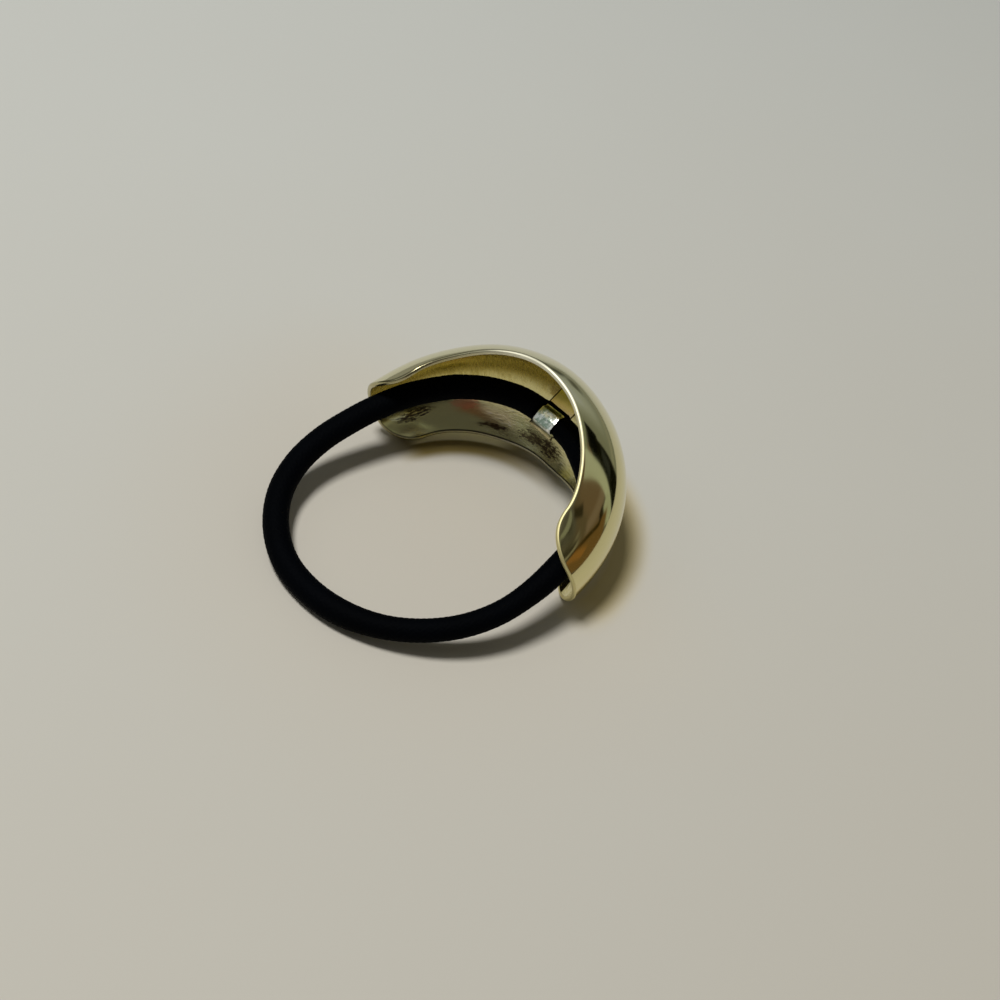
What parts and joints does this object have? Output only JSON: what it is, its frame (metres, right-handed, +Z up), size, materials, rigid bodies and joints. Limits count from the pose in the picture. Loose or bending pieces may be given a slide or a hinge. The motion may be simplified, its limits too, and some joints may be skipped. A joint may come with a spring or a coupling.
{
  "type": "metal hair cuff on an elastic loop",
  "caption": "Pale gold curved metal ponytail cuff, hollow inside, held on a round black elastic loop by a soldered plate and a small silver crimp.",
  "frame": {"origin": "on the table, under the middle of the cuff's box as it rests, the elastic loop not counted", "axes": "+Z up from the table, -Y out of the front of the cuff, +Y towards the far side of the elastic loop, +X along the cuff from end to end"},
  "size_m": [0.0488, 0.0565, 0.027],
  "materials": {
    "gold_metal": "polished outside, brushed and slightly tarnished inside",
    "silver_metal": "bright pressed metal",
    "black_elastic": "fine braided covering, matte"
  },
  "bodies": {
    "root": {"cuff": "gold_metal", "crimp": "silver_metal", "elastic_loop": "black_elastic"}
  },
  "joints": []
}
